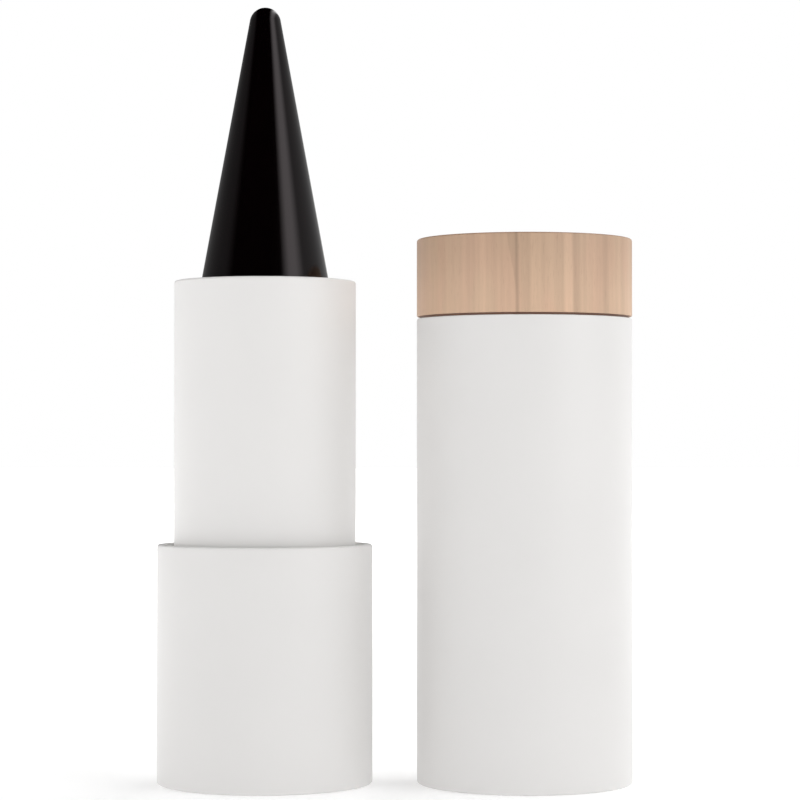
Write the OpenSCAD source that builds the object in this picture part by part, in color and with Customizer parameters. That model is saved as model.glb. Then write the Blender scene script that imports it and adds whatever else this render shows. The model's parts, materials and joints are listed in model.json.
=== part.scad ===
// Twist-up kohl container, drawn open: the base with its raised kohl stick, and the cap
// standing beside it. Sizes are in millimetres and +Z is up. The origin is the centre of
// the base's foot, on the surface that both pieces stand on.
//
// How it works: the slotted tube is fixed in the base. The sleeve and the spiral tube in it
// turn round the slotted tube. The cup's two pins pass through the straight slots into the
// spiral's two helical grooves, so turning the sleeve raises or lowers the cup and the kohl.

/* [Kohl stick] */
// Diameter of the kohl at the rim of its cup
stick_d = 12.1; // [10:0.1:14]
// Height of the raised kohl above the sleeve
stick_rise = 25.4; // [18:0.1:27.5]
// Radius of the rounded tip
tip_r = 1.45; // [0.8:0.05:2.4]
// Depth of the kohl's root in the cup
root_h = 5.4; // [4:0.1:7]

/* [Cup] */
// Wall of the cup
cup_wall = 0.4; // [0.3:0.05:0.6]
// Floor under the kohl
cup_floor = 0.8; // [0.5:0.1:1.2]
// Vent in that floor, which lets the air out as the kohl goes in
vent_d = 1.6; // [1:0.1:3]
// Height of the skirt that carries the pins
skirt_h = 2.3; // [2:0.1:3.5]
// Wall of the skirt
skirt_wall = 0.9; // [0.6:0.05:1.4]
// How far the raised cup's rim stays below the top of the sleeve
cup_sink = 0.8; // [0.2:0.05:1]
// Number of ribs that grip the kohl
cup_ribs = 8; // [4:1:12]
// How far each rib stands into the kohl
cup_rib_depth = 0.3; // [0.15:0.05:0.5]
// Width of each rib
cup_rib_w = 0.45; // [0.3:0.05:0.8]
// Diameter of the two guide pins
pin_d = 1.5; // [1:0.1:2]

/* [Twist mechanism] */
// Turns of the sleeve that raise the kohl fully
turns = 1.5; // [1:0.25:2]
// How far the lowered tip stays below the top of the sleeve
tip_sink = 0.4; // [0.1:0.1:1.5]
// Wall of the slotted tube
slotted_wall = 0.5; // [0.4:0.05:0.8]
// Floor of the slotted tube, under the lowered cup
slotted_floor = 0.8; // [0.5:0.1:1.5]
// Height of the snap rim at the top of the slotted tube
snap_rim_h = 1.1; // [0.8:0.1:2]
// Depth of the four slits that let the snap rim spring in
slit_h = 4; // [2.5:0.25:5]
// Width of each slit
slit_w = 0.8; // [0.5:0.05:1.2]
// Wall of the spiral tube
spiral_wall = 0.8; // [0.7:0.05:1.2]
// Depth of the helical grooves
groove_depth = 0.45; // [0.3:0.05:0.55]
// Solid end left below the grooves
spiral_end = 1.2; // [0.8:0.1:2]
// Section of the rubber drag ring
drag_section = 0.7; // [0.5:0.05:0.9]
// Distance of the drag ring below the spiral tube
drag_drop = 1.9; // [1.2:0.1:2.2]

/* [Sleeve] */
// Height of the sleeve above the base
sleeve_rise = 24.3; // [22:0.1:30]
// Wall of the sleeve
sleeve_wall = 0.45; // [0.35:0.05:0.8]
// Thickness of the inward lip at the top
lip_h = 0.6; // [0.4:0.05:1]
// Rounding of the sleeve's top edge
sleeve_edge_r = 0.25; // [0.1:0.05:0.4]

/* [Base] */
// Height of the base shell
base_h = 22; // [20:0.1:30]
// Floor of the base shell
base_floor = 1.2; // [0.8:0.1:2]
// Floor of the liner, on the shell's floor
liner_floor = 0.8; // [0.5:0.1:1.5]
// How far the base liner's edge stays below the rim of the base
liner_sink = 0.1; // [0:0.05:0.3]
// Depth of the socket that holds the slotted tube
socket_h = 3; // [2:0.1:4]
// How far the spigot's keys stand out
key_out = 0.6; // [0.4:0.05:0.8]
// Width of each key
key_w = 1.8; // [1:0.1:3]
// Number of keys
key_count = 4; // [2:1:6]
// Wall of the spigot in the socket
spigot_wall = 1.2; // [0.8:0.1:2]
// Depth of the label recess under the base
recess_depth = 0.25; // [0.1:0.05:0.5]
// Width of the foot ring round the recess
foot_w = 1.6; // [1:0.1:3]

/* [Cap] */
// Wall of the cap shell and of the base shell
shell_wall = 0.75; // [0.5:0.05:1.2]
// Wall of the cap's liner
liner_wall = 0.55; // [0.4:0.05:0.9]
// Height of the cap shell
cap_shell_h = 42.8; // [35:0.1:50]
// Thickness of the liner's closed end
cap_ceiling = 1.1; // [0.8:0.1:2]
// Height of the dark joint line under the wood
joint_line_h = 0.2; // [0.1:0.05:0.4]
// Depth of the joint line
joint_line_depth = 0.3; // [0.15:0.05:0.5]
// Height of the boss that the wood is glued on
boss_h = 4.7; // [2:0.1:5.5]
// Radius of the boss
boss_r = 6.9; // [5:0.1:8]
// Wall of the boss
boss_wall = 0.8; // [0.6:0.1:1.5]
// Height of the wooden top
wood_h = 7.15; // [6:0.05:12]
// Rounding of the wood's top edge
wood_edge_r = 0.3; // [0.1:0.05:0.8]
// Number of ribs that grip the sleeve
grip_ribs = 6; // [3:1:10]
// Length of the grip ribs
grip_rib_h = 12; // [6:0.5:20]
// Width of the grip ribs
grip_rib_w = 0.9; // [0.5:0.1:2]

/* [Clearances] */
// Radial gap of the turning and sliding fits
running_gap = 0.1; // [0.05:0.01:0.15]
// Gap round a pin in its slot and groove
pin_gap = 0.12; // [0.05:0.01:0.2]
// Radial gap between the sleeve and the base's liner
sleeve_gap = 0.15; // [0.1:0.01:0.3]
// Radial gap between the sleeve and the cap's liner
cap_gap = 0.25; // [0.15:0.01:0.4]
// Gap between a grip rib and the sleeve of the closed container
grip_gap = 0.03; // [0.01:0.01:0.1]
// Gap left for glue round and above the boss
glue_gap = 0.05; // [0.03:0.01:0.15]
// Height of the gaps between parts that sit one above the other
end_gap = 0.4; // [0.2:0.05:0.8]
// Gap between the base and the cap that stands beside it
cap_beside = 4.1; // [2:0.1:30]

/* [Edges] */
// Rounding of the shells' outer edges
edge_r = 0.22; // [0.1:0.02:0.35]
// Bevel of the liners' mouths
mouth_bevel = 0.2; // [0.1:0.05:0.4]

/* [Hidden] */
$fn = 96;
// Overshoot of a cut past the face that it opens
cut = 1;

// Radii, from the kohl outwards
stick_r = stick_d / 2;
cup_r = stick_r + cup_wall;
slotted_in_r = cup_r + running_gap;
slotted_out_r = slotted_in_r + slotted_wall;
spiral_in_r = slotted_out_r + running_gap;
spiral_out_r = spiral_in_r + spiral_wall;
collar_r = spiral_out_r - running_gap;
sleeve_r = spiral_out_r + sleeve_wall;
base_bore_r = sleeve_r + sleeve_gap;
cap_bore_r = sleeve_r + cap_gap;
shell_in_r = cap_bore_r + liner_wall;
case_r = shell_in_r + shell_wall;
lip_in_r = slotted_in_r + running_gap;
pin_r = pin_d / 2;
pin_end_r = spiral_in_r + groove_depth - pin_gap;

// Heights of the raised stick and its mechanism
sleeve_top = base_h + sleeve_rise;
tip_z = sleeve_top + stick_rise;
cup_top = sleeve_top - cup_sink;
cup_floor_z = cup_top - root_h;
cup_bottom = cup_floor_z - cup_floor - skirt_h;
pin_z = cup_bottom + skirt_h - pin_r - end_gap / 2;
travel = stick_rise + tip_sink;
lead = travel / turns;
pin_low_z = pin_z - travel;
snap_top = sleeve_top - lip_h - running_gap;
spiral_top = snap_top - snap_rim_h - running_gap;

// Helical groove: its height along Z, and the run past the pin's centre at each end
lead_angle = atan(lead / (2 * PI * spiral_in_r));
groove_h = (pin_d + 2 * pin_gap) / cos(lead_angle);
groove_run = (pin_r + pin_gap) / spiral_in_r * 180 / PI;
groove_step = 10;
groove_low_z = pin_low_z - lead * groove_run / 360 - groove_h / 2;

spiral_bottom = groove_low_z - spiral_end;
shoulder_z = spiral_bottom - running_gap;
slotted_floor_z = cup_bottom - travel - end_gap;
seat_z = base_floor + liner_floor + socket_h;
sleeve_bottom = seat_z + end_gap;
drag_z = spiral_bottom - drag_drop;
drag_groove_h = drag_section + running_gap;
drag_groove_r = spiral_out_r - running_gap / 2 - drag_section;

// Kohl cone: the straight side meets the round tip at a tangent
cone_h = tip_z - cup_top;
tip_centre_h = cone_h - tip_r;
cone_angle = atan(stick_r / tip_centre_h) - asin(tip_r / norm([stick_r, tip_centre_h]));

// Cap: where it stands, and its levels
cap_x = 2 * case_r + cap_beside;
cap_liner_bottom = end_gap;
ceiling_z = cap_shell_h + joint_line_h - cap_ceiling;
wood_z = cap_shell_h + joint_line_h;

// Section of a ring from r0 to r1 and z0 to z1, whose outer corners are rounded by
// the radii bottom and top
module ring_section(r0, r1, z0, z1, bottom = 0, top = 0) {
  difference() {
    translate([r0, z0]) square([r1 - r0, z1 - z0]);
    if (bottom > 0) round_off(r1, z0, bottom, -1);
    if (top > 0) round_off(r1, z1, top, 1);
  }
}

// What a rounding of radius r takes off the outer corner at x, z. side is 1 for a top
// corner and -1 for a bottom one
module round_off(x, z, r, side) {
  difference() {
    translate([x - r, side > 0 ? z - r : z - cut]) square([r + cut, r + cut]);
    translate([x - r, z - side * r]) circle(r);
  }
}

// Ring revolved from its section
module ring(r0, r1, z0, z1, bottom = 0, top = 0) {
  rotate_extrude() ring_section(r0, r1, z0, z1, bottom, top);
}

// Bevel that opens a bore of radius r by b at height z. side is 1 for a mouth that
// opens upwards and -1 for one that opens downwards
module bore_bevel(r, b, z, side = 1) {
  rotate_extrude() polygon([[0, z - side * b], [r, z - side * b], [r + b, z],
                            [r + b, z + side * cut], [0, z + side * cut]]);
}

// Copies of its child, turned about Z
module round_pattern(count) {
  for (i = [0 : count - 1]) rotate(i * 360 / count) children();
}

// Bar along X from r0 to r1, w wide
module radial_bar(r0, r1, w, z0, z1) {
  translate([r0, -w / 2, z0]) cube([r1 - r0, w, z1 - z0]);
}

// Path of one helical groove, as a solid of square section
module groove() {
  inner = spiral_in_r - cut / 2;
  outer = spiral_in_r + groove_depth;
  first = -360 * turns - groove_run;
  steps = ceil((360 * turns + 2 * groove_run) / groove_step);
  angles = [for (i = [0 : steps]) first + i * (groove_run - first) / steps];
  points = [for (a = angles, c = [[inner, -1], [outer, -1], [outer, 1], [inner, 1]])
    [c[0] * cos(a), c[0] * sin(a), pin_z + lead * a / 360 + c[1] * groove_h / 2]];
  sides = [for (i = [0 : steps - 1], j = [0 : 3], k = [0, 1])
    let (a = 4 * i + j, b = 4 * i + (j + 1) % 4)
    k == 0 ? [a, b + 4, a + 4] : [a, b, b + 4]];
  last = 4 * steps;
  ends = [[0, 2, 1], [0, 3, 2], [last, last + 1, last + 2], [last, last + 2, last + 3]];
  polyhedron(points, concat(sides, ends));
}

// Base

// Outer cup of the base, with a shallow recess for a label underneath
module base_shell() {
  color([0.93, 0.925, 0.915]) difference() {
    ring(0, case_r, 0, base_h, edge_r, edge_r);
    translate([0, 0, base_floor]) cylinder(r = shell_in_r, h = base_h);
    translate([0, 0, -cut]) cylinder(r = case_r - foot_w, h = cut + recess_depth);
  }
}

// Liner in the base shell. Its keyed socket holds the slotted tube, and its bore lets
// the sleeve turn
module base_liner() {
  color([0.86, 0.86, 0.85]) difference() {
    ring(0, shell_in_r, base_floor, base_h - liner_sink);
    translate([0, 0, seat_z]) cylinder(r = base_bore_r, h = base_h);
    bore_bevel(base_bore_r, mouth_bevel, base_h - liner_sink);
    translate([0, 0, base_floor + liner_floor]) cylinder(r = slotted_out_r, h = socket_h + cut);
    round_pattern(key_count)
      radial_bar(0, slotted_out_r + key_out + running_gap / 2, key_w + running_gap,
                 base_floor + liner_floor, seat_z + cut);
  }
}

// Fixed tube with two straight slots. The snap rim at its top and the collar below keep the
// spiral tube in place, and the keyed spigot stops it turning in the base
module slotted_tube() {
  spigot_bottom = base_floor + liner_floor + running_gap;
  slot_w = pin_d + 2 * pin_gap;
  slot_low = pin_low_z - pin_r - 2 * pin_gap;
  slot_high = pin_z + pin_r + 2 * pin_gap;
  color([0.88, 0.88, 0.87]) difference() {
    union() {
      ring(0, slotted_out_r, spigot_bottom, snap_top);
      ring(0, collar_r, seat_z, shoulder_z);
      ring(0, collar_r, snap_top - snap_rim_h, snap_top, 0, mouth_bevel);
      round_pattern(key_count)
        radial_bar(0, slotted_out_r + key_out, key_w, spigot_bottom, seat_z);
    }
    translate([0, 0, slotted_floor_z]) cylinder(r = slotted_in_r, h = snap_top);
    translate([0, 0, slotted_floor_z - slotted_floor - snap_top])
      cylinder(r = slotted_out_r - spigot_wall, h = snap_top);
    ring(drag_groove_r, collar_r + cut, drag_z - drag_groove_h / 2, drag_z + drag_groove_h / 2);
    radial_bar(-collar_r, collar_r, slot_w, slot_low, slot_high);
    rotate(45) round_pattern(4)
      radial_bar(slotted_in_r - cut, collar_r + cut, slit_w, snap_top - slit_h, snap_top + cut);
  }
}

// Rubber ring in the collar's groove, which gives the twist its smooth drag
module drag_ring() {
  color([0.12, 0.12, 0.12]) rotate_extrude()
    translate([drag_groove_r + drag_section / 2, drag_z]) circle(d = drag_section);
}

// Turning sleeve

// White sleeve round the mechanism. Its inward lip covers the tubes' ends
module sleeve() {
  color([0.93, 0.925, 0.915]) difference() {
    ring(0, sleeve_r, sleeve_bottom, sleeve_top, 0, sleeve_edge_r);
    translate([0, 0, sleeve_bottom - cut])
      cylinder(r = spiral_out_r, h = sleeve_top - lip_h - sleeve_bottom + cut);
    cylinder(r = lip_in_r, h = sleeve_top + cut);
    bore_bevel(lip_in_r, sleeve_edge_r / 2, sleeve_top);
  }
}

// Tube pressed into the sleeve, with two right-hand helical grooves for the pins
module spiral_tube() {
  color([0.80, 0.81, 0.82]) difference() {
    ring(spiral_in_r, spiral_out_r, spiral_bottom, spiral_top);
    groove();
    rotate(180) groove();
  }
}

// Stick

// Cup that carries the kohl, with two guide pins on a slit skirt
module stick_cup() {
  color([0.90, 0.90, 0.89]) {
    difference() {
      union() {
        ring(0, cup_r, cup_bottom, cup_top);
        for (side = [0, 180]) rotate([0, 90, side])
          translate([-pin_z, 0, cup_r - skirt_wall / 2])
            cylinder(r = pin_r, h = pin_end_r - cup_r + skirt_wall / 2);
      }
      translate([0, 0, cup_floor_z]) cylinder(r = stick_r, h = root_h + cut);
      translate([0, 0, cup_bottom - cut]) cylinder(r = cup_r - skirt_wall, h = skirt_h + cut);
      translate([0, 0, cup_bottom]) cylinder(d = vent_d, h = root_h);
      rotate(45) round_pattern(2)
        radial_bar(-cup_r - cut, cup_r + cut, slit_w, cup_bottom - cut, cup_floor_z - cup_floor);
    }
    cup_rib_set();
  }
}

// Ribs inside the cup
module cup_rib_set() {
  intersection() {
    ring(stick_r - cup_rib_depth, cup_r - cup_wall / 2, cup_floor_z, cup_top - cup_wall);
    round_pattern(cup_ribs) radial_bar(0, cup_r, cup_rib_w, cup_floor_z - cut, cup_top);
  }
}

// Moulded kohl: a root in the cup and a cone with a round tip above it
module kohl_stick() {
  color([0.05, 0.045, 0.045]) difference() {
    rotate_extrude() intersection() {
      union() {
        polygon([[0, cup_floor_z], [stick_r, cup_floor_z], [stick_r, cup_top],
                 [tip_r * cos(cone_angle), tip_z - tip_r + tip_r * sin(cone_angle)],
                 [0, tip_z - tip_r + tip_r * sin(cone_angle)]]);
        translate([0, tip_z - tip_r]) circle(tip_r);
      }
      translate([0, cup_floor_z]) square([stick_r, tip_z]);
    }
    cup_rib_set();
  }
}

// Cap

// Puts its child where the cap stands, beside the base
module beside() {
  translate([cap_x, 0, 0]) children();
}

// Outer tube of the cap
module cap_shell() {
  color([0.93, 0.925, 0.915]) beside()
    ring(shell_in_r, case_r, 0, cap_shell_h, edge_r, edge_r / 2);
}

// Liner glued in the cap shell. Ribs at its mouth grip the sleeve, its end closes the
// cap, and its edge is the bottom of the dark joint line under the wood
module cap_liner() {
  color([0.86, 0.86, 0.85]) beside() {
    difference() {
      union() {
        ring(0, shell_in_r, cap_liner_bottom, cap_shell_h);
        ring(0, case_r - joint_line_depth, cap_shell_h, wood_z);
        ring(boss_r - boss_wall, boss_r, ceiling_z, wood_z + boss_h);
      }
      translate([0, 0, cap_liner_bottom - cut])
        cylinder(r = cap_bore_r, h = ceiling_z - cap_liner_bottom + cut);
      bore_bevel(cap_bore_r, mouth_bevel, cap_liner_bottom, -1);
    }
    intersection() {
      ring(sleeve_r + grip_gap, cap_bore_r + liner_wall / 2,
           cap_liner_bottom + mouth_bevel, cap_liner_bottom + mouth_bevel + grip_rib_h);
      round_pattern(grip_ribs)
        radial_bar(0, shell_in_r, grip_rib_w, 0, cap_liner_bottom + mouth_bevel + grip_rib_h);
    }
  }
}

// Turned wooden top with a blind bore for the boss
module wood_top() {
  color([0.80, 0.67, 0.56]) beside() difference() {
    ring(0, case_r, wood_z, wood_z + wood_h, edge_r / 2, wood_edge_r);
    translate([0, 0, wood_z - cut]) cylinder(r = boss_r + glue_gap, h = cut + boss_h + glue_gap);
  }
}

base_shell();
base_liner();
slotted_tube();
drag_ring();
sleeve();
spiral_tube();
stick_cup();
kohl_stick();
cap_shell();
cap_liner();
wood_top();
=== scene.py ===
# %% [markdown]
# A twist-up kohl container, open on a white table. The base stands on the left with its
# black kohl cone wound fully out. The cap stands on the right, mouth down, with a disc of
# wood on its top. This lesson dresses the exact engineering model of that container: it
# rebuilds each surface that shows with Blender's modelling operators, and gives every
# piece a finish made only of shader nodes.

# %% Load the engineering model
import json
import math

import bmesh
import bpy
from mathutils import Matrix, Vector

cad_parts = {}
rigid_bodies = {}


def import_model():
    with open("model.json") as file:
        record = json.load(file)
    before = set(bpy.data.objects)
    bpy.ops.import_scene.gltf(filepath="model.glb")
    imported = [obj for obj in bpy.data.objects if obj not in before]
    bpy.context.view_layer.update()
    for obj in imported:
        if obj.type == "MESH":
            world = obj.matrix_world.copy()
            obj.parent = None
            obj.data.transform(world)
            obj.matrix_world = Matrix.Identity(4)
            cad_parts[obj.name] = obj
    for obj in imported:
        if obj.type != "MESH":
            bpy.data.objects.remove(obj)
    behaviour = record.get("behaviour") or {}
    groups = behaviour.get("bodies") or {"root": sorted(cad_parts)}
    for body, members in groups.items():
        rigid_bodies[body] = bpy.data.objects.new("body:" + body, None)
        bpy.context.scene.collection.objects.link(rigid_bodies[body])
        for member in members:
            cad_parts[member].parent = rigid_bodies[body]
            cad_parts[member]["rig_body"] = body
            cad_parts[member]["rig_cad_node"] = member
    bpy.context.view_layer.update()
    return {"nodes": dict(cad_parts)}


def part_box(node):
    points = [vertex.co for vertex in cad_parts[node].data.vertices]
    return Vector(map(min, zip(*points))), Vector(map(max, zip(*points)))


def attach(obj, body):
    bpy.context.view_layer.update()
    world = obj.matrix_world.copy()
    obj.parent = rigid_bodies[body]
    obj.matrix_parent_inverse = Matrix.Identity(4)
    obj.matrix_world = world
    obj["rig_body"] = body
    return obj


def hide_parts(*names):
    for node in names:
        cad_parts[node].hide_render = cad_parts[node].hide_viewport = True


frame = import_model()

MM = 0.001
print("pieces in the model:", ", ".join(sorted(frame["nodes"])))

# %% [markdown]
# The model arrives with all of its pieces selected. An operator acts on everything that is
# selected, so the first habit of the lesson is to clear the selection before each piece.
# The sizes that the lesson needs most are read from the model, so that nothing is fitted
# by eye: the radius of the case, the level of the base's rim, and where the cap stands.

# %% Clear the selection and read the main sizes
def deselect_all():
    bpy.ops.object.select_all(action="DESELECT")


def levels(node):
    """The lowest and highest level of a piece of the model."""
    low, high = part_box(node)
    return low.z, high.z


def radius_of(node):
    """Half the width of a round piece of the model, across its Y direction."""
    low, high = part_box(node)
    return (high.y - low.y) / 2


deselect_all()
CASE_R = radius_of("base_shell")
SLEEVE_R = radius_of("sleeve")
CAP_X = (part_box("cap_shell")[0].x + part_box("cap_shell")[1].x) / 2
print(f"radius: case {CASE_R / MM:.2f} mm, sleeve {SLEEVE_R / MM:.2f} mm")
print(f"the cap stands at x {CAP_X / MM:.2f} mm")

# %% [markdown]
# The camera comes first, because it decides how large every detail is in the picture. A
# small object is photographed with a long lens from about a quarter of a metre, so its
# upright sides stay almost parallel. The camera stands a little below the top of the base
# unit and looks up by less than a degree. Turning the camera, and not shifting its sensor,
# keeps the slight widening towards the table.

# %% Place the camera
FRAME_PX = 800
SENSOR = 36.0
FOCAL_PX = 2719
PX = 0.09256 * MM
CAMERA_DISTANCE = FOCAL_PX * PX
CAMERA_HEIGHT = 31.4 * MM
CAMERA_X = CAP_X / 2 + 0.49 * MM
CAMERA_TILT = 0.89

camera_data = bpy.data.cameras.new("camera")
camera_data.sensor_width = SENSOR
camera_data.lens = SENSOR * FOCAL_PX / FRAME_PX
camera_data.clip_start = 10 * MM
camera = bpy.data.objects.new("camera", camera_data)
bpy.context.scene.collection.objects.link(camera)
camera.location = (CAMERA_X, -CAMERA_DISTANCE, CAMERA_HEIGHT)
camera.rotation_euler = (math.radians(90 + CAMERA_TILT), 0, 0)
bpy.context.scene.camera = camera
bpy.context.scene.view_settings.view_transform = "Standard"
print(f"lens {camera_data.lens:.1f} mm at {CAMERA_DISTANCE / MM:.0f} mm from the pieces")

# %% [markdown]
# Shader maths is easier to read as a formula than as a web of nodes. This small class
# holds one socket and lets Python's operators add the nodes: `a * 0.5 + b` makes a
# multiply node and an add node. Any other node comes from its method `node`, which takes
# the node's type, its settings and the values or links of its sockets. A colour ramp's
# stops are a setting too, each with its place and its colour.

# %% A socket that can be calculated with
class Wire:
    def __init__(self, tree, socket=None):
        self.tree = tree
        self.socket = socket

    def node(self, kind, settings=None, inputs=None, output=0):
        made = self.tree.nodes.new(kind)
        for name, value in (settings or {}).items():
            if name == "stops":
                for _ in value[2:]:
                    made.color_ramp.elements.new(1.0)
                for element, (place, colour) in zip(made.color_ramp.elements, value):
                    element.position = place
                    element.color = (*colour, 1)
            else:
                setattr(made, name, value)
        for key, value in (inputs or {}).items():
            if isinstance(value, Wire):
                self.tree.links.new(value.socket, made.inputs[key])
            else:
                made.inputs[key].default_value = value
        return Wire(self.tree, made.outputs[output])

    def math(self, operation, *values):
        return self.node("ShaderNodeMath", {"operation": operation}, dict(enumerate(values)))

    def __add__(self, other):
        return self.math("ADD", self, other)

    __radd__ = __add__

    def __sub__(self, other):
        return self.math("SUBTRACT", self, other)

    def __rsub__(self, other):
        return self.math("SUBTRACT", other, self)

    def __mul__(self, other):
        return self.math("MULTIPLY", self, other)

    __rmul__ = __mul__

    def __truediv__(self, other):
        return self.math("DIVIDE", self, other)

    def between(self, start, end):
        """0 before start and 1 after end, with a smooth step from one to the other."""
        return self.node(
            "ShaderNodeMapRange",
            {"interpolation_type": "SMOOTHSTEP"},
            {"Value": self, "From Min": start, "From Max": end},
        )

    def mixed(self, low, high):
        """A colour that goes from low to high as this socket goes from 0 to 1."""
        made = self.tree.nodes.new("ShaderNodeMix")
        made.data_type = "RGBA"
        sockets = [s for s in made.inputs if s.type == "RGBA"]
        self.tree.links.new(self.socket, made.inputs[0])
        for socket, value in zip(sockets, (low, high)):
            if isinstance(value, Wire):
                self.tree.links.new(value.socket, socket)
            else:
                socket.default_value = (*value, 1)
        return Wire(self.tree, [s for s in made.outputs if s.type == "RGBA"][0])


# %% [markdown]
# The table and the wall behind it are plain white in the photograph, and the container
# casts almost no shadow. So the camera sees a white world. Everything else sees a studio
# in it, because kohl is glossy and black, and shows what stands round it: nothing in
# front, one tall softbox with soft edges on the right, and dim walls at both sides.
#
# A mirror ball shows all of its surroundings in one round picture. The studio is painted
# in the same way, by how far a place lies from the middle of such a ball, where -1 is the
# ball's left rim and 1 is its right rim. A round stick is a mirror ball that was drawn out
# upwards, so a softbox at 0.45 shows on the kohl a little less than halfway from its middle
# to its right edge. On a ball, that place is the sideways part of the normal. The normal
# lies halfway between the ray and the way back to the camera, so it is their sum, made one
# long.
#
# The kohl's side leans back, so in the main picture it shows nothing that lies low. Down
# there the studio fades into the white of the table. From high above, the round tip still
# shows the dark middle of the studio, but the change from table to studio is softer.

# %% The studio that the kohl shows
LEFT_WALL, GAP, SOFTBOX, RIGHT_WALL = 0.2, 0.0, 2.2, 0.45
LEFT_WALL_END = -0.6
SOFTBOX_START, SOFTBOX_END = 0.4, 0.5
SOFT_EDGE = 0.12
STUDIO = [
    (LEFT_WALL_END, LEFT_WALL),
    (LEFT_WALL_END + SOFT_EDGE, GAP),
    (SOFTBOX_START - SOFT_EDGE, GAP),
    (SOFTBOX_START, SOFTBOX),
    (SOFTBOX_END, SOFTBOX),
    (SOFTBOX_END + SOFT_EDGE, RIGHT_WALL),
]
STUDIO_PEAK = SOFTBOX
LOWEST_SHOWN = 0.33
TABLE_WHITE = 1.0

world = bpy.data.worlds.new("white_surround")
bpy.context.scene.world = world
world.use_nodes = True
sky = Wire(world.node_tree)
ray = sky.node("ShaderNodeTexCoord", output=0)
ray_parts = sky.node("ShaderNodeSeparateXYZ", inputs={0: ray}).socket.node.outputs
ray_x, ray_y, ray_z = (Wire(world.node_tree, ray_parts[i]) for i in range(3))
across_ball = ray_x / sky.math("SQRT", 2 - ray_y * 2)
studio_stops = [((place + 1) / 2, (level / STUDIO_PEAK,) * 3) for place, level in STUDIO]
studio = sky.node("ShaderNodeValToRGB", {"stops": studio_stops}, {"Fac": (across_ball + 1) * 0.5})
rise = ray_z / sky.math("SQRT", 1.001 - across_ball * across_ball)
low = 1 - rise.between(0.0, LOWEST_SHOWN)
surround = studio * STUDIO_PEAK * (1 - low) + low * TABLE_WHITE
seen_by_camera = sky.node("ShaderNodeLightPath", output=0)
brightness = surround * (1 - seen_by_camera) + seen_by_camera
background = world.node_tree.nodes["Background"]
world.node_tree.links.new(brightness.socket, background.inputs["Strength"])
background.inputs["Color"].default_value = (1, 1, 1, 1)
print("world nodes:", len(world.node_tree.nodes))

# %% [markdown]
# The table is a lit one: it glows, which is what thins the shadows at the feet. The glow
# is weaker round the container, where it would light it from below, and stronger far
# away, so that the table ends in the same white as the wall.

# %% The floor
FLOOR_SIZE = 6.0
FLOOR_GREY = 0.86
FLOOR_GLOW = 0.90
NEAR_SHARE, FAR_SHARE = 0.34, 1.0
NEAR_REACH, FAR_REACH = 60 * MM, 450 * MM

bpy.ops.mesh.primitive_plane_add(size=FLOOR_SIZE, location=(CAP_X / 2, 0, 0))
floor = bpy.context.object
floor.name = "floor"
floor_paint = bpy.data.materials.new("pale_floor")
floor_paint.use_nodes = True
shader = floor_paint.node_tree.nodes["Principled BSDF"]
shader.inputs["Base Color"].default_value = (FLOOR_GREY, FLOOR_GREY, FLOOR_GREY, 1)
shader.inputs["Roughness"].default_value = 1.0
shader.inputs["Specular IOR Level"].default_value = 0.0
shader.inputs["Emission Strength"].default_value = FLOOR_GLOW
table = Wire(floor_paint.node_tree)
table_place = table.node("ShaderNodeTexCoord", output=3)
distance = table.node("ShaderNodeVectorMath", {"operation": "LENGTH"}, {0: table_place}, output=1)
glow = distance.between(NEAR_REACH, FAR_REACH).mixed((NEAR_SHARE,) * 3, (FAR_SHARE,) * 3)
floor_paint.node_tree.links.new(glow.socket, shader.inputs["Emission Color"])
floor.data.materials.append(floor_paint)
deselect_all()

# %% [markdown]
# The lights shape the white plastic and the wood. They stand all round, a little above
# the container, and are kept out of reflections, because the studio already holds what
# the kohl should show.

# %% The lights
LIGHT_DISTANCE = 0.80
AIM_HEIGHT = 45 * MM


def soft_light(name, azimuth_deg, elevation_deg, width, height, radiance):
    """A rectangular area light aimed at the middle of the object. Radiance is its brightness."""
    data = bpy.data.lights.new(name, "AREA")
    data.shape = "RECTANGLE"
    data.size = width
    data.size_y = height
    data.energy = radiance * math.pi * width * height
    light = bpy.data.objects.new(name, data)
    bpy.context.scene.collection.objects.link(light)
    a, e = math.radians(azimuth_deg), math.radians(elevation_deg)
    away = Vector((math.sin(a) * math.cos(e), -math.cos(a) * math.cos(e), math.sin(e)))
    light.location = Vector((CAP_X / 2, 0, AIM_HEIGHT)) + away * LIGHT_DISTANCE
    light.rotation_euler = away.to_track_quat("Z", "Y").to_euler()
    light.visible_glossy = False
    light.visible_camera = False
    return light


LIGHTS = [
    soft_light("light_front_right", 47, 12, 0.40, 0.40, 2.4),
    soft_light("light_front_left", -47, 12, 0.40, 0.40, 3.1),
    soft_light("light_left", -85, 14, 0.60, 0.40, 1.8),
    soft_light("light_back_left", -145, 14, 0.60, 0.40, 2.6),
    soft_light("light_back_right", 150, 14, 0.60, 0.40, 2.8),
    soft_light("light_above", 0, 88, 0.60, 0.60, 1.6),
]
print("lights:", *(light.name for light in LIGHTS))

# %% [markdown]
# All of the white pieces are turned shapes. By hand, such a piece starts as a cylinder
# blank of the right radius and height. Its end faces are inset and pushed in or out to
# make bores and recesses, and its sharp rims are rounded with the bevel tool. These
# helpers do just that, and pick faces and edges by where they are.

# %% Helpers for turned pieces
SIDES = 192
CLOSE = 0.004 * MM
WELD = 0.0005 * MM


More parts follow.
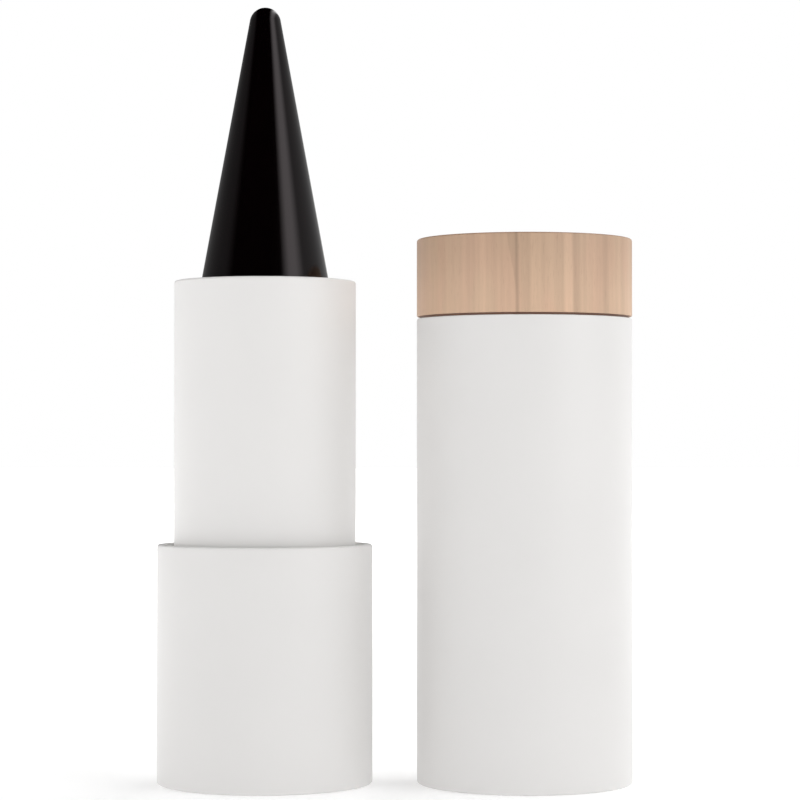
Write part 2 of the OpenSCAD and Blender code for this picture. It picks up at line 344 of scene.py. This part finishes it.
def blank(name, radius, low, high, x=0.0, sides=SIDES, kind="cylinder", top_radius=0.0):
    """A round blank of the right size in its place, left in edit mode."""
    deselect_all()
    place = {"depth": high - low, "location": (x, 0, (low + high) / 2), "vertices": sides}
    if kind == "cone":
        place.update(radius1=radius, radius2=top_radius)
        bpy.ops.mesh.primitive_cone_add(end_fill_type="NGON", **place)
    else:
        bpy.ops.mesh.primitive_cylinder_add(radius=radius, end_fill_type="NGON", **place)
    piece = bpy.context.object
    piece.name = piece.data.name = name
    bpy.ops.object.transform_apply(location=True, rotation=True, scale=True)
    bpy.ops.object.mode_set(mode="EDIT")
    bpy.ops.mesh.select_mode(type="FACE")
    return piece


def pick_faces(piece, test):
    """Selects the faces whose centre and normal pass the test."""
    bpy.ops.mesh.select_mode(type="FACE")
    bpy.ops.mesh.select_all(action="DESELECT")
    mesh = bmesh.from_edit_mesh(piece.data)
    for face in mesh.faces:
        face.select_set(test(face.calc_center_median(), face.normal))
    bmesh.update_edit_mesh(piece.data)
    return sum(face.select for face in mesh.faces)


def pick_rings(piece, rings, x=0.0):
    """Selects the edges that lie on circles, each given as (radius, level)."""
    bpy.ops.mesh.select_mode(type="EDGE")
    bpy.ops.mesh.select_all(action="DESELECT")
    mesh = bmesh.from_edit_mesh(piece.data)

    def on_ring(point):
        r = math.hypot(point.x - x, point.y)
        return any(abs(r - ring[0]) < CLOSE and abs(point.z - ring[1]) < CLOSE for ring in rings)

    for edge in mesh.edges:
        start, end = (v.co for v in edge.verts)
        edge.select_set(on_ring(start) and on_ring(end) and abs(start.z - end.z) < CLOSE)
    bmesh.update_edit_mesh(piece.data)
    return sum(edge.select for edge in mesh.edges)


def end_face(piece, level, up):
    """Selects the flat end of a blank at a level: the one that looks up or down."""
    return pick_faces(piece, lambda c, n: abs(c.z - level) < CLOSE and n.z * up > 0.9)


def inset(thickness):
    bpy.ops.mesh.inset(thickness=thickness, use_even_offset=True, use_boundary=True)


def push(rise):
    bpy.ops.mesh.extrude_region_move(TRANSFORM_OT_translate={"value": (0, 0, rise)})


def round_rings(piece, rings, width, x=0.0, segments=5):
    """Rounds the circular edges given as (radius, level)."""
    count = pick_rings(piece, rings, x)
    bpy.ops.mesh.bevel(
        offset=width, offset_type="OFFSET", segments=segments, affect="EDGES", profile=0.5
    )
    return count


def leave_edit(piece, angle=32):
    """Closes the piece: one skin, normals outwards, smooth shading up to an angle."""
    bpy.ops.mesh.select_all(action="SELECT")
    bpy.ops.mesh.remove_doubles(threshold=WELD)
    bpy.ops.mesh.normals_make_consistent(inside=False)
    bpy.ops.object.mode_set(mode="OBJECT")
    bpy.ops.object.shade_smooth_by_angle(angle=math.radians(angle))
    deselect_all()
    heights = [v.co.z / MM for v in piece.data.vertices]
    print(f"{piece.name}: {len(heights)} points, from {min(heights):.2f} to {max(heights):.2f} mm")
    return piece


# %% [markdown]
# The base shell is a deep cup. Its top face is inset by the wall and pushed down to the
# floor. Its foot is a ring, because the middle of the underside is pushed in a little to
# give a label or a sticker room. The small round dot left in that recess is where the
# plastic entered the mould. Both outer rims are rounded, as a moulded part's are.

# %% Base shell
SHELL_WALL = 0.75 * MM
BASE_FLOOR = 1.2 * MM
FOOT_WIDTH = 1.6 * MM
RECESS_DEPTH = 0.25 * MM
GATE_R = 0.8 * MM
GATE_H = 0.12 * MM
GATE_SLOPE = 0.1 * MM
EDGE_R = 0.22 * MM
INNER_EDGE_R = 0.05 * MM
BASE_TOP = levels("base_shell")[1]

base_shell = blank("base_shell_body", CASE_R, 0, BASE_TOP)
end_face(base_shell, BASE_TOP, 1)
inset(SHELL_WALL)
push(BASE_FLOOR - BASE_TOP)
end_face(base_shell, 0, -1)
inset(FOOT_WIDTH)
push(RECESS_DEPTH)
inset(CASE_R - FOOT_WIDTH - GATE_R)
push(-GATE_H)
inset(GATE_SLOPE)
round_rings(base_shell, [(CASE_R, 0), (CASE_R, BASE_TOP)], EDGE_R)
inner_rims = [(CASE_R - SHELL_WALL, BASE_TOP), (CASE_R - FOOT_WIDTH, 0)]
round_rings(base_shell, inner_rims, INNER_EDGE_R, segments=3)
leave_edit(base_shell)
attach(base_shell, "base")
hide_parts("base_shell")

# %% [markdown]
# The sleeve is a thin tube with a lip that turns inwards at the top, so that it hides the
# ends of the tubes inside it. It is bored from below, and the bore stops short of the
# top. The two end faces are then inset to the same small circle, deleted, and joined by a
# bridge, which makes the opening that the kohl comes out of.

# %% Sleeve
SLEEVE_WALL = 0.45 * MM
LIP_H = 0.6 * MM
LIP_R = 6.65 * MM
SLEEVE_EDGE_R = 0.25 * MM
SLEEVE_LOW, SLEEVE_TOP = levels("sleeve")

sleeve = blank("sleeve_body", SLEEVE_R, SLEEVE_LOW, SLEEVE_TOP)
end_face(sleeve, SLEEVE_LOW, -1)
inset(SLEEVE_WALL)
push(SLEEVE_TOP - LIP_H - SLEEVE_LOW)
inset(SLEEVE_R - SLEEVE_WALL - LIP_R)
bpy.ops.mesh.delete(type="FACE")
end_face(sleeve, SLEEVE_TOP, 1)
inset(SLEEVE_R - LIP_R)
bpy.ops.mesh.delete(type="FACE")
pick_rings(sleeve, [(LIP_R, SLEEVE_TOP), (LIP_R, SLEEVE_TOP - LIP_H)])
bpy.ops.mesh.bridge_edge_loops()
round_rings(sleeve, [(SLEEVE_R, SLEEVE_TOP)], SLEEVE_EDGE_R)
round_rings(sleeve, [(LIP_R, SLEEVE_TOP), (SLEEVE_R, SLEEVE_LOW)], SLEEVE_EDGE_R / 2, segments=3)
leave_edit(sleeve)
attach(sleeve, "sleeve")
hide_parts("sleeve")

# %% [markdown]
# The kohl is cast in a mould: a plain root that sits in the cup, and above it a long cone
# with a round tip. A cone blank gives the straight flank. The tip is the upper part of a
# sphere, cut off by a bisect at the level where its side leans just as much as the cone's,
# so that the two meet without a corner, and their rims are merged where they meet.

# %% Kohl stick
KOHL_R = radius_of("kohl_stick")
KOHL_LOW, KOHL_TOP = levels("kohl_stick")
ROOT_H = 5.4 * MM
ROOT_EDGE_R = 0.12 * MM
SEAM_GAP = 0.02 * MM
ROOT_TOP = KOHL_LOW + ROOT_H
TIP_R = 1.45 * MM
TIP_Z = KOHL_TOP - TIP_R
CONE_H = TIP_Z - ROOT_TOP
FLANK_ANGLE = math.atan2(KOHL_R, CONE_H) - math.asin(TIP_R / math.hypot(KOHL_R, CONE_H))
MEET_R = TIP_R * math.cos(FLANK_ANGLE)
MEET_Z = TIP_Z + TIP_R * math.sin(FLANK_ANGLE)

kohl = blank("kohl_cone", KOHL_R, ROOT_TOP, MEET_Z, kind="cone", top_radius=MEET_R)
end_face(kohl, MEET_Z, 1)
bpy.ops.mesh.delete(type="FACE")
end_face(kohl, ROOT_TOP, -1)
push(-ROOT_H)
bpy.ops.object.mode_set(mode="OBJECT")
deselect_all()
bpy.ops.mesh.primitive_uv_sphere_add(
    segments=SIDES, ring_count=SIDES // 2, radius=TIP_R, location=(0, 0, TIP_Z)
)
bpy.ops.object.transform_apply(location=True)
bpy.ops.object.mode_set(mode="EDIT")
bpy.ops.mesh.select_all(action="SELECT")
bpy.ops.mesh.bisect(plane_co=(0, 0, MEET_Z), plane_no=(0, 0, 1), clear_inner=True)
bpy.ops.object.mode_set(mode="OBJECT")
kohl.select_set(True)
bpy.context.view_layer.objects.active = kohl
bpy.ops.object.join()
bpy.ops.object.mode_set(mode="EDIT")
print("edges on the seam:", pick_rings(kohl, [(MEET_R, MEET_Z)]))
bpy.ops.mesh.select_all(action="SELECT")
bpy.ops.mesh.remove_doubles(threshold=SEAM_GAP)
round_rings(kohl, [(KOHL_R, ROOT_TOP)], ROOT_EDGE_R, segments=3)
leave_edit(kohl, angle=25)
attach(kohl, "carrier")
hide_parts("kohl_stick")

# %% [markdown]
# The cap's shell is a plain tube, with a rounded mouth and a finer edge under the wood.

# %% Cap shell
SHELL_IN_R = CASE_R - SHELL_WALL
CAP_TOP = levels("cap_shell")[1]

cap_shell = blank("cap_shell_body", CASE_R, 0, CAP_TOP, x=CAP_X)
for level, up in ((CAP_TOP, 1), (0, -1)):
    end_face(cap_shell, level, up)
    inset(SHELL_WALL)
    bpy.ops.mesh.delete(type="FACE")
pick_rings(cap_shell, [(SHELL_IN_R, CAP_TOP), (SHELL_IN_R, 0)], x=CAP_X)
bpy.ops.mesh.bridge_edge_loops()
round_rings(cap_shell, [(CASE_R, 0)], EDGE_R, x=CAP_X)
round_rings(cap_shell, [(CASE_R, CAP_TOP), (SHELL_IN_R, 0)], EDGE_R / 2, x=CAP_X, segments=3)
leave_edit(cap_shell)
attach(cap_shell, "cap")
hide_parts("cap_shell")

# %% [markdown]
# The wooden top is turned from a solid disc and bored from below, so that it can be glued
# on the liner's boss. Its upper edge is softened with sandpaper, as it has to be before
# it is oiled.

# %% Wooden top
WOOD_LOW, WOOD_TOP = levels("wood_top")
BOSS_BORE_R = 6.95 * MM
BOSS_BORE_H = 4.75 * MM
WOOD_EDGE_R = 0.22 * MM

wood = blank("wood_disc", CASE_R, WOOD_LOW, WOOD_TOP, x=CAP_X)
end_face(wood, WOOD_LOW, -1)
inset(CASE_R - BOSS_BORE_R)
push(BOSS_BORE_H)
round_rings(wood, [(CASE_R, WOOD_TOP)], WOOD_EDGE_R, x=CAP_X, segments=6)
round_rings(wood, [(CASE_R, WOOD_LOW)], EDGE_R / 2, x=CAP_X, segments=3)
leave_edit(wood)
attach(wood, "cap")
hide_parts("wood_top")

# %% [markdown]
# The pieces of the mechanism have slots, keys, ribs and grooves, which the engineering
# model already gives exactly. Its meshes are loose triangles, so they would look faceted.
# A copy of each is merged into one skin and shaded smooth, and stands in its place.

# %% Smooth copies of the mechanism
def smooth_copy(node, body):
    """A merged and smoothly shaded copy of a piece of the model, which replaces it."""
    piece = frame["nodes"][node].copy()
    piece.data = frame["nodes"][node].data.copy()
    piece.name = piece.data.name = node + "_smooth"
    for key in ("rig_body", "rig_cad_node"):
        del piece[key]
    piece.parent = None
    bpy.context.scene.collection.objects.link(piece)
    deselect_all()
    piece.select_set(True)
    bpy.context.view_layer.objects.active = piece
    bpy.ops.object.mode_set(mode="EDIT")
    bpy.ops.mesh.select_all(action="SELECT")
    bpy.ops.mesh.remove_doubles(threshold=WELD)
    bpy.ops.object.mode_set(mode="OBJECT")
    bpy.ops.object.shade_smooth_by_angle(angle=math.radians(25))
    deselect_all()
    piece.data.materials.clear()
    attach(piece, body)
    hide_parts(node)
    print(f"{piece.name}: {len(piece.data.polygons)} faces")
    return piece


base_liner = smooth_copy("base_liner", "base")
slotted_tube = smooth_copy("slotted_tube", "base")
drag_ring = smooth_copy("drag_ring", "base")
spiral_tube = smooth_copy("spiral_tube", "sleeve")
stick_cup = smooth_copy("stick_cup", "carrier")
cap_liner = smooth_copy("cap_liner", "cap")

# %% [markdown]
# The white shells are moulded plastic with a satin skin. Plastic of this kind is never
# one flat colour: its skin has a very fine grain from the mould, and its gloss changes a
# little from place to place. Both come from noise, read from the object's own coordinates
# so that the pattern stays on the piece when the piece moves.

# %% Satin white plastic
def new_finish(name):
    """A material with its main shader, and a socket tool in its node tree."""
    made = bpy.data.materials.new(name)
    made.use_nodes = True
    tree = made.node_tree
    return made, tree.nodes["Principled BSDF"], Wire(tree)


def feed(wire, shader_node, socket):
    wire.tree.links.new(wire.socket, shader_node.inputs[socket])


def noise(tool, size, detail=2.0, stretch=(1, 1, 1), centre=(0, 0, 0), roughness=0.5):
    """Noise from 0 to 1 with features about size across, drawn out along an axis."""
    place = tool.node("ShaderNodeTexCoord", output=3)
    scaled = tool.node(
        "ShaderNodeMapping",
        {"vector_type": "POINT"},
        {"Vector": place, "Location": tuple(-c / (s * size) for c, s in zip(centre, stretch)),
         "Scale": tuple(1 / (s * size) for s in stretch)},
    )
    values = {"Vector": scaled, "Scale": 1.0, "Detail": detail, "Roughness": roughness}
    return tool.node("ShaderNodeTexNoise", {}, values)


def bump(tool, height, depth):
    """A normal that stands for a relief depth deep, where height runs from 0 to 1."""
    return tool.node("ShaderNodeBump", {}, {"Height": height, "Distance": depth, "Strength": 1.0})


WHITE_DARK = (0.715, 0.704, 0.694)
WHITE_LIGHT = (0.727, 0.716, 0.706)


def satin_white():
    made, shader_node, tool = new_finish("satin_white_plastic")
    cloud = noise(tool, 9 * MM, detail=1.0)
    grain = noise(tool, 0.12 * MM, detail=3.0)
    feed(cloud.between(0.2, 0.8).mixed(WHITE_DARK, WHITE_LIGHT), shader_node, "Base Color")
    feed(0.40 + grain * 0.08 + cloud * 0.04, shader_node, "Roughness")
    feed(bump(tool, grain, 0.0012 * MM), shader_node, "Normal")
    return made


WHITE = satin_white()
for piece in (base_shell, sleeve, cap_shell):
    piece.data.materials.append(WHITE)
print("white plastic:", len(WHITE.node_tree.nodes), "nodes")

# %% Plain plastic of the inner pieces
def plain_plastic(name, dark, light, roughness):
    made, shader_node, tool = new_finish(name)
    cloud = noise(tool, 4 * MM)
    grain = noise(tool, 0.2 * MM, detail=3.0)
    feed(cloud.between(0.3, 0.7).mixed(dark, light), shader_node, "Base Color")
    feed(roughness + grain * 0.1, shader_node, "Roughness")
    feed(bump(tool, grain, 0.003 * MM), shader_node, "Normal")
    return made


LINER_DARK = (0.64, 0.64, 0.62)
LINER_LIGHT = (0.68, 0.68, 0.66)
ACETAL = plain_plastic("natural_acetal", (0.66, 0.655, 0.63), (0.71, 0.70, 0.68), 0.32)
LINER = plain_plastic("liner_plastic", LINER_DARK, LINER_LIGHT, 0.42)
RUBBER = plain_plastic("drag_rubber", (0.02, 0.02, 0.02), (0.035, 0.035, 0.035), 0.6)
for piece in (slotted_tube, spiral_tube, stick_cup):
    piece.data.materials.append(ACETAL)
base_liner.data.materials.append(LINER)
drag_ring.data.materials.append(RUBBER)
print("inner pieces:", ACETAL.name, LINER.name, RUBBER.name)

# %% [markdown]
# One edge of the cap's liner shows: its thin flange lies between the white shell and the
# wood, and is seen from outside as a dark brown line. The rest of the liner is off-white
# like that of the base. So this plastic is the same, but it turns dark brown beyond a certain
# radius at the flange's level. That dark brown is partly the edge's own colour and partly
# painted shade, the shadow of the narrow groove between shell and wood. Painting by position needs no
# seam in the mesh.

# %% Liner of the cap, with its brown edge and painted shade
FLANGE_R = 9.3 * MM
FLANGE_LOW, FLANGE_HIGH = CAP_TOP - 0.05 * MM, WOOD_LOW + 0.05 * MM
# The flange's dark brown: partly the edge's own colour, partly painted shade of the groove between
# shell and wood.
FLANGE_BROWN_AND_SHADE = (0.15, 0.075, 0.050)


def object_place(tool):
    """The three object coordinates of the point that is shaded."""
    place = tool.node("ShaderNodeTexCoord", output=3)
    outputs = tool.node("ShaderNodeSeparateXYZ", inputs={0: place}).socket.node.outputs
    return [Wire(tool.tree, outputs[i]) for i in range(3)]


def liner_with_shaded_brown_edge():
    made, shader_node, tool = new_finish("liner_plastic_with_brown_shaded_edge")
    x, y, z = object_place(tool)
    radius = tool.math("SQRT", (x - CAP_X) * (x - CAP_X) + y * y)
    at_level = tool.math("GREATER_THAN", z, FLANGE_LOW) * tool.math("LESS_THAN", z, FLANGE_HIGH)
    # Painted shade: at the flange's level the liner's edge is painted dark, where the groove between
    # shell and wood lies in shadow.
    at_shaded_edge = radius.between(FLANGE_R, FLANGE_R + 0.1 * MM) * at_level
    cloud = noise(tool, 4 * MM)
    grain = noise(tool, 0.2 * MM, detail=3.0)
    plain = cloud.between(0.3, 0.7).mixed(LINER_DARK, LINER_LIGHT)
    feed(at_shaded_edge.mixed(plain, FLANGE_BROWN_AND_SHADE), shader_node, "Base Color")
    feed(0.42 + grain * 0.1, shader_node, "Roughness")
    feed(bump(tool, grain, 0.003 * MM), shader_node, "Normal")
    return made


LINER_WITH_SHADED_EDGE = liner_with_shaded_brown_edge()
cap_liner.data.materials.append(LINER_WITH_SHADED_EDGE)
print("flange seen between", CAP_TOP / MM, "and", WOOD_LOW / MM, "mm")

# %% [markdown]
# Kohl is pigment in wax. Cast against a polished mould it is black with a soft gloss, a
# little lower than that of plastic, and the faintest warm tinge.

# %% Black kohl
KOHL_DARK = (0.0005, 0.0001, 0.0002)
KOHL_LIGHT = (0.0009, 0.0002, 0.0003)
KOHL_GLOSS = (1.0, 0.90, 0.92, 1)


def black_kohl():
    made, shader_node, tool = new_finish("black_kohl")
    cloud = noise(tool, 3 * MM)
    grain = noise(tool, 0.15 * MM, detail=4.0)
    feed(cloud.mixed(KOHL_DARK, KOHL_LIGHT), shader_node, "Base Color")
    feed(0.10 + grain * 0.07, shader_node, "Roughness")
    shader_node.inputs["Specular IOR Level"].default_value = 0.36
    shader_node.inputs["Specular Tint"].default_value = KOHL_GLOSS
    feed(bump(tool, grain, 0.001 * MM), shader_node, "Normal")
    return made


KOHL = black_kohl()
kohl.data.materials.append(KOHL)

# %% [markdown]
# The wood is fine-grained and straight, and it is cut so that its grain runs up the
# piece. A tree grows in layers. Here they stand upright and nearly front to back, so each
# one shows as a stripe up the side and goes on over the top as end grain. Each layer is a
# little different in tone, and the thin dark lines are where growth stopped in winter.
#
# So the first thing to work out is how far through the layers a point lies. That is its
# distance across the piece, with a little skew and bend because the layers are parts of
# large rings, a little lean, and a slow wobble from noise.

# %% How the layers of the wood lie
SKEW = 0.05
BEND = 0.004
LEAN = 0.008
WOBBLE = 0.06


def layer_in_front(x):
    """The layer that shows x mm from the axis on the front of the piece."""
    y = -math.sqrt(max((CASE_R / MM) ** 2 - x * x, 0))
    return x + SKEW * y + BEND * y * y


def wood_places(tool):
    """Across, depth and height in mm from the middle of the piece, and the layer there."""
    x, y, z = object_place(tool)
    across = (x - CAP_X) * (1 / MM)
    depth = y * (1 / MM)
    height = (z - (WOOD_LOW + WOOD_TOP) / 2) * (1 / MM)
    slow = noise(tool, 3.5 * MM, detail=1.0, stretch=(1, 1, 4), centre=(CAP_X, 0, 0))
    layer = across + depth * SKEW + depth * depth * BEND + height * LEAN + (slow - 0.5) * (2 * WOBBLE)
    return across, depth, height, layer


# %% [markdown]
# A layer's tone comes from three things, as on a real board. Broad layers are a little
# lighter or darker in no order, so they are noise in one dimension, read along the layers
# alone. Where growth stopped in winter a thin dark line is left, and four of those lines
# are strong enough to be seen. And one layer, right of the middle, is pale. Their places
# are in millimetres from the axis, as they show on the front.

# %% Tones of the layers
MEAN_TONE = 0.95
BROAD_WIDTH = 1.2
BROAD_CONTRAST = 0.35
FAINT, STRONG = 0.10, 0.25
DARK_LINES = [(-5.4, FAINT), (-1.1, STRONG), (4.1, FAINT), (7.1, FAINT)]
LINE_HALF_WIDTH = 0.3
PALE_LAYER = (3.1, 3.9)
PALE_EDGE = 0.15
PALE_GAIN = 0.15


def layer_tone(tool, layer):
    """The tone of the wood at a layer."""
    values = {"W": layer * (1 / BROAD_WIDTH), "Scale": 1.0, "Detail": 2.0}
    broad = tool.node("ShaderNodeTexNoise", {"noise_dimensions": "1D"}, values)
    tone = MEAN_TONE + (broad - 0.5) * BROAD_CONTRAST
    for place, strength in DARK_LINES:
        distance = tool.math("ABSOLUTE", layer - layer_in_front(place))
        line = 1 - distance.between(0.0, LINE_HALF_WIDTH)
        tone = tone * (1 - line * strength)
    first, last = (layer_in_front(place) for place in PALE_LAYER)
    pale = (layer - first).between(-PALE_EDGE, PALE_EDGE)
    pale = pale * (1 - (layer - last).between(-PALE_EDGE, PALE_EDGE))
    return tone * (1 + pale * PALE_GAIN)


print(len(DARK_LINES), "dark lines, and a pale layer from", PALE_LAYER[0], "to", PALE_LAYER[1], "mm")

# %% [markdown]
# Three finer things lie on the layers. Faint rings fill the broad ones. Fibres and pores
# are noise drawn out along the grain, so they are long hairs on the side and small dots on
# the end grain. And one knife-shaped streak of darker wood slants into the strongest line.
# Oil soaks deeper into end grain, so the top is darker and browner. The side is painted lighter
# towards its lower edge and darker towards its top: partly the wood's own tone, partly painted light
# from the bright table below.

# %% Oiled wood
WOOD_TAN = (0.531, 0.364, 0.249)
WOOD_PINK = (0.545, 0.360, 0.249)
END_GRAIN = (0.80, 0.72, 0.66)
RING_SPACING = 0.62
STREAK_TOP, STREAK_LOW, STREAK_END = -2.11, -1.20, -1.15


def oiled_wood():
    made, shader_node, tool = new_finish("oiled_wood")
    across, depth, height, layer = wood_places(tool)
    middle = (CAP_X, 0, 0)
    tone = layer_tone(tool, layer)

    rings = tool.math("SINE", layer * (2 * math.pi / RING_SPACING))
    uneven = noise(tool, 1.6 * MM, detail=2.0, stretch=(1, 1, 5), centre=middle)
    fibre = noise(tool, 0.16 * MM, detail=3.0, stretch=(1, 1, 22), centre=middle, roughness=0.6)
    pores = noise(tool, 0.075 * MM, detail=1.0, stretch=(1, 1, 14), centre=middle).between(0.62, 0.74)
    tone = tone * (1 + rings * 0.012) * (0.95 + uneven * 0.10)
    tone = tone * (0.93 + fibre * 0.14) * (1 - pores * 0.10)

    streak_edge = STREAK_LOW + (STREAK_TOP - STREAK_LOW) * height.between(-2.5, 4.5)
    beyond_edge = (across - streak_edge).between(0.0, 0.12)
    before_line = 1 - (across - STREAK_END).between(-0.05, 0.10)
    in_front = 1 - depth.between(-3.0, 0.0)
    tone = tone * (1 - beyond_edge * before_line * in_front * 0.10)

    # Partly painted light: the side grows lighter towards its lower edge, as if lit from below by the
    # bright table.
    tone = tone * (1.085 - height.between(-3.6, 3.6) * 0.17)
    facing = tool.node("ShaderNodeTexCoord", output=1)
    facing_up = tool.node("ShaderNodeSeparateXYZ", inputs={0: facing}, output=2)
    end_grain = facing_up.between(0.35, 0.85)

    hue = noise(tool, 2.2 * MM, detail=1.0, stretch=(1, 1, 3), centre=middle).between(0.35, 0.65)
    colour = hue.mixed(WOOD_TAN, WOOD_PINK)
    soaked = end_grain.mixed((1, 1, 1), END_GRAIN)
    colour = tool.node("ShaderNodeVectorMath", {"operation": "MULTIPLY"}, {0: colour, 1: soaked})
    colour = tool.node("ShaderNodeVectorMath", {"operation": "SCALE"}, {0: colour, "Scale": tone})
    feed(colour, shader_node, "Base Color")
    feed(0.50 + fibre * 0.12 - end_grain * 0.04, shader_node, "Roughness")
    feed(bump(tool, fibre - pores * 0.5, 0.006 * MM), shader_node, "Normal")
    return made


WOOD = oiled_wood()
wood.data.materials.append(WOOD)
print("wood:", len(WOOD.node_tree.nodes), "nodes")
